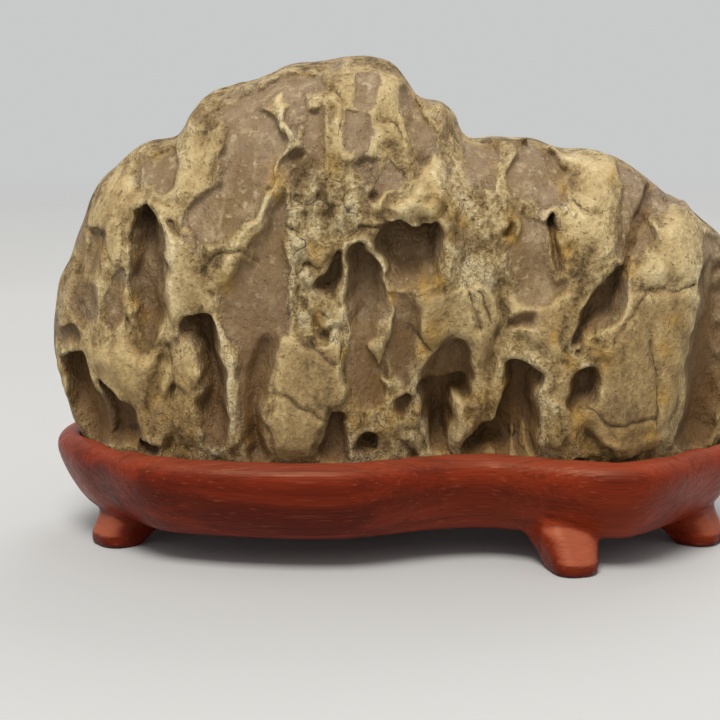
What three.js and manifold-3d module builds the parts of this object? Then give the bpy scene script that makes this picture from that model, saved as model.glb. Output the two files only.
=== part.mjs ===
// Scholar's rock on a carved wooden stand. Millimetres, +Z up, +X along the length, -Y is the show face.
// The origin is the middle of the footprint, on the surface the feet stand on.
import * as THREE from "three";
import { mergeVertices } from "three/addons/utils/BufferGeometryUtils.js";
import Module from "manifold-3d";

// Driving dimensions
const STONE_FACES = 14; // icosahedron subdivision of the stone's skin
const STONE_HEART = { x: 0, y: 0, z: 88 }; // middle of the stone's inner core line
const CORE_SHARE = 0.5; // the core line runs along X, over this share of the stone's length
const STONE_REACH = { x: 118, y: 46, z: 72 }; // rough half-sizes, to spread the facets evenly
const SEAT_Z = 20; // the stone's flat underside
const SEAT_GAP = 0.6; // clearance between the stone and its recess
// How far in from its outline the stone goes on swelling, near its foot and near its top
const EDGE_ROUND = { low: 20, high: 46, lowZ: 30, highZ: 150 };
const RIM_Z = 38; // crest of the stand's rim
const RIM_SAMPLES = 84; // points round the stand
const SKIRT_Z = 10; // underside of the stand's body
const SKIRT_INSET = 12; // how far the body draws in below the rim

// Front outline of the stone, [x, z], from its underside up the left, over the peak and down the right.
const STONE_OUTLINE = [
  [-60, 6], [-100, 10], [-112, 38], [-118, 53], [-121.5, 70], [-119.5, 88], [-113, 101], [-108, 113],
  [-102, 125], [-92, 135.5], [-77, 140], [-71, 148.5], [-62, 156], [-48, 160], [-36, 164], [-20, 165.5],
  [-9, 166.4], [-1, 162.5], [6, 154.5], [17, 149], [23, 140], [38, 140], [52, 137], [66, 136.5],
  [81, 129.5], [91, 122], [102, 114], [111, 105], [118, 90], [121.5, 70], [120.5, 50], [116, 36],
  [104, 10], [60, 6],
];

// Half-depth of the stone before and behind its middle plane, [x, depth]: wavy at the foot, even higher up.
const FOOT_FRONT = [
  [-122, 14], [-108, 17], [-91, 29], [-81, 36], [-66, 41], [-50, 44], [-34, 45.5], [-18, 45], [-5, 41],
  [6, 36.5], [18, 33.5], [30, 33], [41, 36.5], [54, 41.5], [69, 44.5], [82, 38.5], [101, 24.5], [122, 14],
];
const FOOT_BACK = [
  [-122, 16], [-105, 29], [-80, 41], [-50, 45.8], [-20, 43], [12, 42.5], [46, 45], [76, 40], [98, 30],
  [122, 15],
];
const CROWN_FRONT = [[-122, 18], [-95, 33], [-45, 42], [0, 42], [45, 38], [85, 38], [122, 18]];
const CROWN_BACK = [[-122, 18], [-90, 34], [-40, 44], [10, 42], [60, 38], [95, 32], [122, 18]];

// Water-worn hollows: centre, half-width, half-height, depth and lean in degrees.
const FRONT_HOLLOWS = [
  { x: -92, z: 92, w: 14, h: 32, depth: 7, lean: 0 },
  { x: -70, z: 62, w: 14, h: 26, depth: 6, lean: 5 },
  { x: -12, z: 82, w: 16, h: 24, depth: 7, lean: 0 },
  { x: 6, z: 100, w: 16, h: 24, depth: 8, lean: 4 },
  { x: 17, z: 60, w: 16, h: 22, depth: 7, lean: 0 },
  { x: 40, z: 54, w: 17, h: 24, depth: 8, lean: -12 },
  { x: 68, z: 82, w: 15, h: 28, depth: 8, lean: -24 },
  { x: 97, z: 66, w: 13, h: 32, depth: 7, lean: -6 },
];
const BACK_HOLLOWS = [
  { x: -84, z: 96, w: 16, h: 30, depth: 8, lean: 8 },
  { x: -48, z: 66, w: 15, h: 25, depth: 7, lean: -6 },
  { x: -22, z: 112, w: 17, h: 28, depth: 8, lean: -10 },
  { x: 12, z: 68, w: 18, h: 22, depth: 9, lean: 10 },
  { x: 48, z: 100, w: 14, h: 28, depth: 8, lean: 14 },
  { x: 80, z: 72, w: 16, h: 25, depth: 8, lean: 0 },
];

// Crest of the stand's rim in plan, [x, y], anticlockwise from the right end.
const RIM_CREST = [
  [116.1, 5], [111, 20], [98, 33], [76, 42], [46, 47], [12, 44.5], [-18, 45], [-50, 47.6], [-82, 43],
  [-101, 33], [-113, 20], [-116.1, 5], [-109, -10], [-99, -21], [-83, -37], [-66, -43], [-50, -46],
  [-34, -47.5], [-18, -47], [-5, -43], [6, -38.5], [18, -35.5], [30, -35], [41, -38.5], [54, -43.5],
  [69, -46.5], [81, -42.5], [98, -26], [111, -12],
];

// Side section of the stand, [outset from the crest, z], from inside the rim out, down and under.
const STAND_SECTION = [
  [-4, RIM_Z - 1], [-0.8, RIM_Z], [2.6, RIM_Z - 1.1], [4.8, RIM_Z - 3.4], [5.4, RIM_Z - 6.4],
  [4.6, RIM_Z - 10], [2.6, RIM_Z - 15], [0.1, RIM_Z - 19.8], [-2.7, RIM_Z - 24],
  [-6, RIM_Z - 27.2], [-SKIRT_INSET, SKIRT_Z],
];

// Feet: where each meets the crest's line in plan, the way it points in degrees, and its toe's half width.
const FEET = [
  { x: -102, y: -12.5, heading: -140, toe: 8.5 }, { x: 57, y: -46, heading: -76, toe: 7.2 },
  { x: 108, y: -11, heading: -40, toe: 8.5 }, { x: 97, y: 30, heading: 40, toe: 8 },
  { x: -6, y: 44.5, heading: 92, toe: 6.5 }, { x: -96, y: 33, heading: 140, toe: 8 },
];
// Horizontal sections of a foot from the sole up: height, how far its front and back lie out from the crest's
// line, and the half-widths added to the toe's at the front and at the back.
const FOOT_SECTIONS = [
  { z: 0, front: 3, back: -8, fore: -0.8, aft: 0.4 },
  { z: 1.2, front: 3.9, back: -9, fore: 0, aft: 1 },
  { z: 4, front: 3.8, back: -12, fore: 0.2, aft: 1.8 },
  { z: 5.4, front: 2.9, back: -13.5, fore: 0.2, aft: 2.4 },
  { z: 9, front: 0.5, back: -16, fore: 0.9, aft: 4.2 },
  { z: 12.5, front: -1.7, back: -20, fore: 1.6, aft: 6 },
  { z: 16.5, front: -5, back: -24, fore: 2, aft: 6 },
];
const FOOT_POINTS = 16; // points round a foot

const wasm = await Module();
wasm.setup();

// Helpers

const clamp01 = (t) => Math.min(1, Math.max(0, t));
const smooth = (t) => clamp01(t) ** 2 * (3 - 2 * clamp01(t));
const mix = (a, b, t) => a + (b - a) * t;

// The value at x of a soft line through knots of [x, value].
function softLine(knots, x) {
  if (x <= knots[0][0]) return knots[0][1];
  const i = knots.findIndex(([kx]) => kx > x);
  if (i < 0) return knots.at(-1)[1];
  const [x0, v0] = knots[i - 1];
  const [x1, v1] = knots[i];
  return mix(v0, v1, smooth((x - x0) / (x1 - x0)));
}

function closedCurve(points, samples) {
  const knots = points.map(([a, b]) => new THREE.Vector3(a, b, 0));
  return new THREE.CatmullRomCurve3(knots, true, "centripetal").getSpacedPoints(samples).slice(0, samples);
}

function geometryOf(vertices, faces) {
  const geometry = new THREE.BufferGeometry();
  geometry.setAttribute("position", new THREE.Float32BufferAttribute(vertices, 3));
  geometry.setIndex(faces);
  return geometry;
}

function solidOf(geometry) {
  const clean = geometry.clone();
  clean.deleteAttribute("normal");
  clean.deleteAttribute("uv");
  const merged = mergeVertices(clean);
  return new wasm.Manifold(new wasm.Mesh({
    numProp: 3,
    vertProperties: new Float32Array(merged.attributes.position.array),
    triVerts: new Uint32Array(merged.index.array),
  }));
}

function meshOf(name, geometry, material) {
  const mesh = new THREE.Mesh(geometry, material);
  mesh.name = name;
  return mesh;
}

// A closed skin through rings of points, with a fan over each end. Rings run anticlockwise seen from above,
// and go downwards.
function loft(rings) {
  const count = rings[0].length;
  const vertices = rings.flat().flatMap((p) => [p.x, p.y, p.z]);
  const faces = [];
  for (let r = 0; r + 1 < rings.length; r += 1) {
    for (let i = 0; i < count; i += 1) {
      const j = (i + 1) % count;
      const [a, b] = [r * count + i, r * count + j];
      faces.push(a, a + count, b, b, a + count, b + count);
    }
  }
  for (const [ring, start, up] of [[rings[0], 0, true], [rings.at(-1), (rings.length - 1) * count, false]]) {
    const middle = vertices.length / 3;
    const centre = ring.reduce((sum, p) => sum.add(p), new THREE.Vector3()).divideScalar(count);
    vertices.push(centre.x, centre.y, centre.z);
    for (let i = 0; i < count; i += 1) {
      const j = (i + 1) % count;
      faces.push(middle, start + (up ? i : j), start + (up ? j : i));
    }
  }
  return geometryOf(vertices, faces);
}

// Stone

const outline = closedCurve(STONE_OUTLINE, 240);

// How far [x, z] lies inside the front outline, negative outside it.
function insetFromOutline(x, z) {
  let nearest = Infinity;
  let inside = false;
  outline.forEach((a, i) => {
    const b = outline[(i + 1) % outline.length];
    const [ex, ez] = [b.x - a.x, b.y - a.y];
    const t = clamp01(((x - a.x) * ex + (z - a.y) * ez) / (ex * ex + ez * ez));
    nearest = Math.min(nearest, Math.hypot(x - a.x - t * ex, z - a.y - t * ez));
    if (a.y > z !== b.y > z && x < a.x + ((z - a.y) / ez) * ex) inside = !inside;
  });
  return inside ? nearest : -nearest;
}

function halfDepth(x, y, z) {
  const rise = smooth((z - RIM_Z) / 70);
  return y < 0
    ? mix(softLine(FOOT_FRONT, x), softLine(CROWN_FRONT, x), rise)
    : mix(softLine(FOOT_BACK, x), softLine(CROWN_BACK, x), rise);
}

// Distance out of the stone's bulk, negative inside: its outline, swelling to the half-depth.
function bulkDistance({ x, y, z }) {
  const { low, high, lowZ, highZ } = EDGE_ROUND;
  const round = mix(low, high, smooth((z - lowZ) / (highZ - lowZ)));
  const depth = halfDepth(x, y, z);
  const edge = Math.max(0, 1 - insetFromOutline(x, z) / round);
  const swell = Math.hypot(edge, y / depth);
  const slope = Math.hypot(edge / round, y / depth ** 2);
  const side = slope > 0 ? ((swell - 1) * swell) / slope : -depth;
  return Math.max(side, SEAT_Z - z);
}

// How far the hollows draw a point of the skin towards the stone's middle plane.
function hollowDepth({ x, y, z }) {
  const facing = smooth((Math.abs(y) - 8) / 20);
  const depths = (y < 0 ? FRONT_HOLLOWS : BACK_HOLLOWS).map(({ x: hx, z: hz, w, h, depth, lean }) => {
    const turn = THREE.MathUtils.degToRad(lean);
    const across = (x - hx) * Math.cos(turn) + (z - hz) * Math.sin(turn);
    const along = (z - hz) * Math.cos(turn) - (x - hx) * Math.sin(turn);
    return depth * Math.max(0, 1 - (across / w) ** 2 - (along / h) ** 2) ** 1.5;
  });
  return facing * Math.max(...depths);
}

// Every vertex of a ball goes out from the core line to where the distance is zero.
function castBall(detail, distance) {
  const ball = new THREE.IcosahedronGeometry(1, detail);
  const position = ball.attributes.position;
  const ray = new THREE.Vector3();
  const at = (t) => ({
    x: STONE_HEART.x + ray.x * STONE_REACH.x * mix(CORE_SHARE, 1, t),
    y: STONE_HEART.y + ray.y * STONE_REACH.y * t,
    z: STONE_HEART.z + ray.z * STONE_REACH.z * t,
  });
  for (let i = 0; i < position.count; i += 1) {
    ray.fromBufferAttribute(position, i).normalize();
    let [near, far] = [0.2, 2.2];
    for (let step = 0; step < 24; step += 1) {
      const middle = (near + far) / 2;
      if (distance(at(middle)) < 0) near = middle;
      else far = middle;
    }
    const end = at(near);
    position.setXYZ(i, end.x, end.y, end.z);
  }
  return ball;
}

function makeStone() {
  const skin = castBall(STONE_FACES, bulkDistance);
  const position = skin.attributes.position;
  const p = new THREE.Vector3();
  for (let i = 0; i < position.count; i += 1) {
    p.fromBufferAttribute(position, i);
    position.setY(i, p.y - Math.sign(p.y) * hollowDepth(p));
  }
  return skin;
}

// Stand

const crest = closedCurve(RIM_CREST, RIM_SAMPLES);

// Outward direction of the crest at its i-th point.
function outwardAt(i) {
  const before = crest[(i + RIM_SAMPLES - 2) % RIM_SAMPLES];
  const after = crest[(i + 2) % RIM_SAMPLES];
  return new THREE.Vector3(after.y - before.y, before.x - after.x, 0).normalize();
}

function makeStandBody() {
  return loft(STAND_SECTION.map(([out, z]) => crest.map((p, i) => {
    const moved = p.clone().addScaledVector(outwardAt(i), out);
    return moved.setZ(z);
  })));
}

function makeFoot({ x, y, heading, toe }) {
  const turn = THREE.MathUtils.degToRad(heading);
  const out = new THREE.Vector3(Math.cos(turn), Math.sin(turn), 0);
  const along = new THREE.Vector3(-out.y, out.x, 0);
  const rings = FOOT_SECTIONS.map(({ z, front, back, fore, aft }) => (
    Array.from({ length: FOOT_POINTS }, (_, k) => {
      const angle = (2 * Math.PI * (k + 0.5)) / FOOT_POINTS;
      const square = (t) => Math.sign(t) * Math.abs(t) ** 0.6;
      const ahead = (1 + square(Math.cos(angle))) / 2;
      const halfWidth = toe + mix(aft, fore, ahead);
      return new THREE.Vector3(x, y, z)
        .addScaledVector(out, mix(back, front, ahead))
        .addScaledVector(along, square(Math.sin(angle)) * halfWidth);
    })
  ));
  return loft(rings.reverse());
}

function makeStand() {
  const recess = solidOf(castBall(STONE_FACES, (p) => bulkDistance(p) - SEAT_GAP));
  let block = solidOf(makeStandBody());
  for (const foot of FEET) block = block.add(solidOf(makeFoot(foot)));
  const carved = block.subtract(recess).getMesh();
  return geometryOf(Array.from(carved.vertProperties), Array.from(carved.triVerts));
}

// Assembly

const stoneMaterial = new THREE.MeshStandardMaterial({ color: "#b79c73", roughness: 0.85, metalness: 0 });
const woodMaterial = new THREE.MeshStandardMaterial({ color: "#64241a", roughness: 0.35, metalness: 0 });

const group = new THREE.Group();
group.add(meshOf("stone", makeStone(), stoneMaterial));
group.add(meshOf("stand", makeStand(), woodMaterial));

export default group;
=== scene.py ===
"""Looks of a scholar's rock on its carved rosewood stand.

The stone is sculpted as a distance field: a rounded mass, then hollows, ridges, slabs, cracks and crust
laid out on maps of its front and back, seen square on.  The stand is a moulded section run round the rim,
with six feet.  Lengths are millimetres in the row frame (x along the stone, y to the back, z up) until a
mesh is made.
"""

import math

import bpy
import numpy as np
import openvdb
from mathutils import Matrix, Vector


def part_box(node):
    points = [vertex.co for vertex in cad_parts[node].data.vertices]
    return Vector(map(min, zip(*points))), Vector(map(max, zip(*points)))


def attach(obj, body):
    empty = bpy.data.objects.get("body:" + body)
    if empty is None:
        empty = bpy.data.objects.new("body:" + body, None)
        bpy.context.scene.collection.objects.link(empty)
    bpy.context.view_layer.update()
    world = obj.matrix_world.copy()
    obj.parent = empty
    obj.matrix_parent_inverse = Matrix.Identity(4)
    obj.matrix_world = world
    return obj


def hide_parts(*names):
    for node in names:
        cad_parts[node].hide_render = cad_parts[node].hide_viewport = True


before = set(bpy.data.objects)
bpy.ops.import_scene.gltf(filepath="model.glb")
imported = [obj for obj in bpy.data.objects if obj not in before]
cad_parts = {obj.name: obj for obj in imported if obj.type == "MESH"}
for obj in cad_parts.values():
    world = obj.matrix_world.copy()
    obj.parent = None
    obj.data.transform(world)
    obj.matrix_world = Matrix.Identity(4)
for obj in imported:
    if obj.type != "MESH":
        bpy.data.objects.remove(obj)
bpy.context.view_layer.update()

MM = 0.001
SEAT_Z = float(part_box("stone")[0][2] / MM)
RIM_Z = round(float(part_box("stand")[1][2] / MM), 3)
MOST_TRIANGLES = 190000

# ---------------------------------------------------------------- the mass of the stone

# the skyline and ends of the stone seen from the front: x, z
OUTLINE = [
    (-60, 6), (-100, 10), (-112, 38), (-116.2, 48), (-119.3, 58), (-121.5, 69), (-120.3, 82),
    (-118.1, 92), (-112.5, 102), (-108.4, 112.4), (-102.5, 124.4), (-96.9, 130.2), (-91.6, 135.6),
    (-85, 139), (-77, 140), (-73.7, 143), (-71.3, 148), (-67.1, 152.7), (-61.6, 156.2), (-52.8, 158),
    (-44, 161), (-37.2, 164), (-29, 164.3), (-20.4, 165.6), (-11, 166.3), (-3.6, 164.6), (2.5, 159),
    (6.3, 154.3), (13.7, 151.5), (18.5, 147.4), (20.5, 143), (24.7, 139.8), (37, 140.1), (46, 138.9),
    (53.7, 136.4), (64.3, 136.6), (73.2, 133.6), (80.8, 129.2), (87, 124.6), (91, 121.6), (94.8, 120),
    (102, 113.7), (109.8, 106.4), (115.5, 94.5), (120.5, 77), (121.3, 62), (119.5, 46), (116, 36),
    (104, 10), (60, 6),
]
# x, and half the depth there: low down and high up, before and behind the middle
FOOT_FRONT = [
    (-122, 14), (-108, 17), (-91, 29), (-81, 36), (-66, 41), (-50, 44), (-34, 45.5), (-18, 45), (-5, 41),
    (6, 36.5), (18, 33.5), (30, 33), (41, 36.5), (54, 41.5), (69, 44.5), (82, 38.5), (101, 24.5),
    (122, 14),
]
FOOT_BACK = [
    (-122, 16), (-105, 29), (-80, 41), (-50, 45.8), (-20, 43), (12, 42.5), (46, 45), (76, 40), (98, 30),
    (122, 15),
]
CROWN_FRONT = [(-122, 18), (-95, 33), (-45, 42), (0, 42), (45, 38), (85, 38), (122, 18)]
CROWN_BACK = [(-122, 18), (-90, 34), (-40, 44), (10, 42), (60, 38), (95, 32), (122, 18)]
EDGE_ROUND = {"low": 20, "high": 46, "low_z": 30, "high_z": 150}

# the maps are square on to the broad sides; the volume is sampled at whole map steps
MAP_STEP = 0.4
VOXEL = 2 * MAP_STEP
MAP_X = np.arange(-128, 128, MAP_STEP)
MAP_Z = np.arange(12, 176, MAP_STEP)
# how far a hollow rises as it goes in, and how deep beneath the plain surface that is followed
UNDERCUT = 0.3
DEEPEST = 24


def ease(t):
    """0 to 1 with level ends, as t goes from 0 to 1."""
    t = np.clip(t, 0, 1)
    return t * t * (3 - 2 * t)


def soft_line(knots, at):
    """Eased interpolation between knots, level at each knot."""
    xs, ys = np.array(knots, float).T
    i = np.clip(np.searchsorted(xs, at, side="right"), 1, len(xs) - 1)
    share = ease((at - xs[i - 1]) / (xs[i] - xs[i - 1]))
    return ys[i - 1] * (1 - share) + ys[i] * share


def smooth_path(points, closed, spans=6):
    """Catmull-Rom curve through the points."""
    p = np.array(points, float)
    if closed:
        p = np.concatenate([p[-1:], p, p[:2]])
    else:
        p = np.concatenate([2 * p[:1] - p[1:2], p, 2 * p[-1:] - p[-2:-1]])
    a, b, c, d = p[:-3, None], p[1:-2, None], p[2:-1, None], p[3:, None]
    t = (np.arange(spans) / spans)[None, :, None]
    curve = b + 0.5 * t * (c - a + t * (2 * a - 5 * b + 4 * c - d + t * (3 * (b - c) + d - a)))
    curve = curve.reshape(-1, p.shape[1])
    return curve if closed else np.concatenate([curve, p[-2:-1]])


def segment_gaps(x, z, path, closed):
    """Both ends of each segment, and the square of every place's distance from it."""
    following = np.roll(path, -1, axis=0) if closed else path[1:]
    for (ax, az), (bx, bz) in zip(path, following):
        ex, ez = bx - ax, bz - az
        along = np.clip(((x - ax) * ex + (z - az) * ez) / (ex * ex + ez * ez + 1e-12), 0, 1)
        yield ax, az, bx, bz, (x - ax - along * ex) ** 2 + (z - az - along * ez) ** 2


def loop_inset(x, z, loop):
    """How far each place lies inside a closed loop; negative outside it."""
    nearest = np.full(x.shape, np.inf)
    inside = np.zeros(x.shape, bool)
    for ax, az, bx, bz, gap in segment_gaps(x, z, loop, True):
        nearest = np.minimum(nearest, gap)
        if az != bz:
            inside ^= ((az > z) != (bz > z)) & (x < ax + (z - az) / (bz - az) * (bx - ax))
    return np.where(inside, 1, -1) * np.sqrt(nearest)


def line_offset(x, z, path):
    """Signed distance to an open line: positive on one side of it, negative on the other."""
    nearest = np.full(x.shape, np.inf)
    side = np.ones(x.shape)
    for ax, az, bx, bz, gap in segment_gaps(x, z, path, False):
        closer = gap < nearest
        nearest = np.where(closer, gap, nearest)
        left = (bx - ax) * (z - az) - (bz - az) * (x - ax) >= 0
        side = np.where(closer, np.where(left, 1, -1), side)
    return side * np.sqrt(nearest)


def spline_weights(at, spacing):
    """Cubic B-spline weights of a lattice with that spacing, as a matrix over the places."""
    cell = (at - at.min()) / spacing
    base = np.floor(cell).astype(int)
    t = cell - base
    weights = np.zeros((len(at), base.max() + 4))
    rows = np.arange(len(at))
    parts = ((1 - t) ** 3, 3 * t**3 - 6 * t**2 + 4, -3 * t**3 + 3 * t**2 + 3 * t + 1, t**3)
    for k, part in enumerate(parts):
        weights[rows, base + k] = part / 6
    return weights


def cloud(axes, sizes, seed):
    """Smooth noise over a grid, its lumps as big as sizes."""
    weights = [spline_weights(at, size) for at, size in zip(axes, sizes)]
    field = np.random.default_rng(seed).normal(size=[w.shape[1] for w in weights])
    for w in weights:
        field = np.tensordot(field, w, axes=(0, 1))
    spline_loss = 0.69
    return field / spline_loss ** len(axes)


def plane_cloud(size_x, size_z, seed):
    return cloud((MAP_X, MAP_Z), (size_x, size_z), seed)


def between_cells(table, u, v):
    """A table's value at any places, counted in cells from its corner."""
    u = np.clip(u, 0, table.shape[0] - 1.001)
    v = np.clip(v, 0, table.shape[1] - 1.001)
    i, j = u.astype(int), v.astype(int)
    u, v = u - i, v - j
    low = table[i, j] * (1 - u) + table[i + 1, j] * u
    high = table[i, j + 1] * (1 - u) + table[i + 1, j + 1] * u
    return low * (1 - v) + high * v


def sample(plane, x, z):
    return between_cells(plane, (x - MAP_X[0]) / MAP_STEP, (z - MAP_Z[0]) / MAP_STEP)


def blurred(plane, size):
    """The map averaged over about size millimetres."""
    reach = max(1, int(size / MAP_STEP / 2))
    for axis in (0, 1):
        for _ in range(2):
            pad = [(reach + 1, reach) if a == axis else (0, 0) for a in (0, 1)]
            total = np.cumsum(np.pad(plane, pad, mode="edge"), axis=axis)
            count = plane.shape[axis]
            upper = np.take(total, np.arange(2 * reach + 1, 2 * reach + 1 + count), axis=axis)
            lower = np.take(total, np.arange(count), axis=axis)
            plane = (upper - lower) / (2 * reach + 1)
    return plane


PLANE_X, PLANE_Z = np.meshgrid(MAP_X, MAP_Z, indexing="ij")
inset_map = loop_inset(PLANE_X, PLANE_Z, smooth_path(OUTLINE, True, 4))


def half_depth(x, z, foot, crown):
    """Half the stone's depth, which passes from its foot's to its crown's on the way up."""
    rise = ease((z - 38) / 70)
    return soft_line(foot, x) * (1 - rise) + soft_line(crown, x) * rise


def bulk_distance(x, y, z, inset):
    """Signed distance to the plain mass, before anything is carved."""
    reach = (z - EDGE_ROUND["low_z"]) / (EDGE_ROUND["high_z"] - EDGE_ROUND["low_z"])
    radius = EDGE_ROUND["low"] + (EDGE_ROUND["high"] - EDGE_ROUND["low"]) * ease(reach)
    front_depth = half_depth(x, z, FOOT_FRONT, CROWN_FRONT)
    depth = np.where(y < 0, front_depth, half_depth(x, z, FOOT_BACK, CROWN_BACK))
    edge = np.maximum(0, 1 - inset / radius)
    swell = np.maximum(np.hypot(edge, y / depth), 1e-6)
    slope = np.hypot(edge / radius, y / depth**2)
    return (swell - 1) * swell / np.maximum(slope, 1e-4)


# ---------------------------------------------------------------- what is carved on each side


def lift(plane, area, least):
    """Raises part of a map to at least these values."""
    plane[area] = np.maximum(plane[area], least)


def pull(plane, area, value, share):
    """Draws part of a map towards a value."""
    plane[area] += (value - plane[area]) * share


class Side:
    """One broad side of the stone: maps over x and z of its relief and its colours.

    Positive bare is stone without crust, calm is smooth, crack is the distance to the nearest crack,
    broken varies how thick the crust's edges are, and shade is painted shade.
    """

    def __init__(self, seed):
        self.x = PLANE_X + 0.7 * plane_cloud(7, 9, seed) + 0.5 * plane_cloud(2.4, 3, seed + 1)
        self.z = PLANE_Z + 0.7 * plane_cloud(7, 9, seed + 2) + 0.5 * plane_cloud(2.4, 3, seed + 3)
        self.broken = np.clip(0.5 + 0.55 * plane_cloud(5, 8, seed + 8), 0, 1.4)
        self.relief = np.zeros(PLANE_X.shape)
        self.bare = 0.9 * plane_cloud(9, 16, seed + 4) + 0.9 * plane_cloud(4, 6, seed + 5) - 1.7
        self.calm = np.full(PLANE_X.shape, 0.45)
        self.pale = 0.55 + 0.1 * plane_cloud(22, 30, seed + 6)
        self.ochre = 0.1 * plane_cloud(14, 18, seed + 7)
        self.shade = np.zeros(PLANE_X.shape)
        self.crack = np.full(PLANE_X.shape, 9.0)

    def window(self, points, margin):
        """The part of the maps round these points."""
        low, high = np.min(points, axis=0) - margin, np.max(points, axis=0) + margin
        i = np.searchsorted(MAP_X, (low[0], high[0]))
        j = np.searchsorted(MAP_Z, (low[1], high[1]))
        return slice(i[0], i[1]), slice(j[0], j[1])

    def loop(self, points):
        """The part of the maps round a closed outline, and how far inside it each place lies."""
        area = self.window(points, 5)
        return area, loop_inset(self.x[area], self.z[area], smooth_path(points, True, 5))

    def line(self, points, margin=6):
        """The part of the maps round a line, and each place's offset from it."""
        area = self.window(points, margin)
        return area, line_offset(self.x[area], self.z[area], smooth_path(points, False, 5))

    def hollow(self, points, depth, wall, fall, shade, lip):
        """A pit in the crust: bare inside, deepest under its roof, with a pale lip round it and painted
        shade, darkest at its deeper end.
        """
        area, inset = self.loop(points)
        low, high = np.min(points, axis=0)[1], np.max(points, axis=0)[1]
        height = np.clip((self.z[area] - low) / (high - low), 0, 1)
        t = np.clip(inset / wall, 0, 1)
        steep = 0.5 * t * (2 - t) + 0.5 * ease(t)
        self.relief[area] -= depth * steep * (1 - fall * (1 - height))
        rim = self.broken[area] * (0.25 + 0.75 * height)
        self.relief[area] += lip * rim * np.exp(-(((inset + 0.8) / 1.1) ** 2))
        lift(self.bare, area, np.clip(inset - 0.4, -4, 4))
        self.bare[area] -= 2.0 * rim * np.exp(-(((inset + 1.2) / 1.3) ** 2))
        lift(self.calm, area, ease(inset / 2) * 0.8)
        # painted shade inside the hollow
        dark = 0.55 + 0.45 * (height if fall >= 0 else 1 - height)
        lift(self.shade, area, shade * ease(inset / wall) * dark)

    def brown(self, points, depth, shade):
        """A place where the crust is gone and the smooth brown stone shows, with painted shade as given.
        """
        area, inset = self.loop(points)
        self.relief[area] -= 0.5 * depth * ease(inset / 3)
        lift(self.bare, area, np.clip(inset, -4, 4))
        lift(self.calm, area, ease((inset + 1) / 3))
        lift(self.shade, area, shade * ease(inset / 3))

    def cream(self, points, height, wall, pale, calm=0.85):
        """A swelling or slab of smooth pale crust."""
        area, inset = self.loop(points)
        t = np.clip(inset / wall, 0, 1)
        self.relief[area] += height * (0.4 * t * (2 - t) + 0.6 * ease(t))
        cover = ease((inset + 0.5) / 1.5)
        covered = np.minimum(self.bare[area] - 2.5, -1.2)
        self.bare[area] = self.bare[area] * (1 - cover) + covered * cover
        pull(self.pale, area, pale, ease((inset + 1) / 4))
        lift(self.calm, area, ease((inset + 1) / 3) * calm)

    def tooth(self, points, height, wall, pale):
        """A pale lump standing in a hollow."""
        self.cream(points, height, wall, pale, 0.5)
        area, inset = self.loop(points)
        # the hollow's painted shade is taken off the lump
        self.shade[area] *= 1 - 0.75 * ease((inset + 0.5) / 1.5)

    def crusted(self, points):
        """A place where the crust is broken and crumbling."""
        area, inset = self.loop(points)
        cover = ease((inset + 1.5) / 3)
        self.calm[area] *= 1 - cover
        self.bare[area] -= 0.8 * cover
        self.pale[area] += 0.36 * cover

    def ridge(self, points, height, width):
        """A pale crest of crust along a line."""
        area, offset = self.line(points)
        crest = np.exp(-((offset / (width * (0.6 + 0.6 * self.broken[area]))) ** 2))
        self.relief[area] += height * crest
        self.bare[area] -= 3.0 * crest
        pull(self.pale, area, 0.7, crest)

    def groove(self, points, depth, width, shade):
        """A channel along a line, with painted shade in its bed."""
        area, offset = self.line(points)
        bed = np.exp(-((offset / width) ** 2))
        self.relief[area] -= depth * bed
        lift(self.shade, area, shade * bed)

    def split(self, points):
        """A crack: a narrow cut, and its distance for the dark line in the colour."""
        area, offset = self.line(points, 4)
        self.relief[area] -= 1.2 * np.exp(-((offset / 0.8) ** 2))
        closer = np.abs(offset) < np.abs(self.crack[area])
        self.crack[area] = np.where(closer, offset, self.crack[area])

    def stain(self, x, z, radius):
        """A rusty yellow-brown spot."""
        area = self.window([(x, z)], radius * 2.5)
        away = np.hypot(self.x[area] - x, (self.z[area] - z) * 0.7) / radius
        lift(self.ochre, area, 0.8 * np.exp(-(away**2)))

    def pebble(self, x, z, radius):
        """A small dome of crust."""
        area = self.window([(x, z)], radius * 2)
        away = np.hypot(self.x[area] - x, self.z[area] - z) / radius
        dome = np.sqrt(np.maximum(0, 1 - away**2))
        self.relief[area] += 1.5 * dome
        self.bare[area] -= 3 * ease(dome * 2)
        pull(self.pale, area, 0.6, ease(dome * 2))

    def weather(self, seed):
        """Rough crust, flutes and pits where the surface isn't calm, and a thin crust edge everywhere."""
        rough = 1 - self.calm
        swells = 1.3 * plane_cloud(24, 34, seed) + 0.75 * plane_cloud(9, 20, seed + 1)
        crags = 0.45 * plane_cloud(5, 9, seed + 2) + 0.5 * plane_cloud(2.4, 4.5, seed + 3)
        ribs = 1.1 * (0.7 - np.abs(plane_cloud(5, 11, seed + 8)))
        ribs = ribs + 0.6 * (0.7 - np.abs(plane_cloud(2.2, 4.4, seed + 9)))
        fine = 0.3 * plane_cloud(1.4, 2.2, seed + 4)
        seams = np.abs(plane_cloud(7, 12, seed + 5))
        chips = np.abs(plane_cloud(4.5, 5.5, seed + 6))
        creases = 1.1 * np.exp(-((seams / 0.13) ** 2)) + 0.55 * np.exp(-((chips / 0.16) ** 2))
        pits = 0.9 * ease((plane_cloud(2.6, 3.6, seed + 7) - 1.2) / 0.7)
        creases = creases * np.clip(self.broken - 0.3, 0, 1)
        broad = swells * (0.35 + 0.65 * rough)
        self.relief += broad + (crags + ribs - creases - pits) * rough + fine * (0.3 + 0.7 * rough)
        crust = ease(0.5 - self.bare / 1.4)
        self.relief += 1.1 * crust - 0.6
        self.cavity = self.relief - blurred(self.relief, 5)
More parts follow.
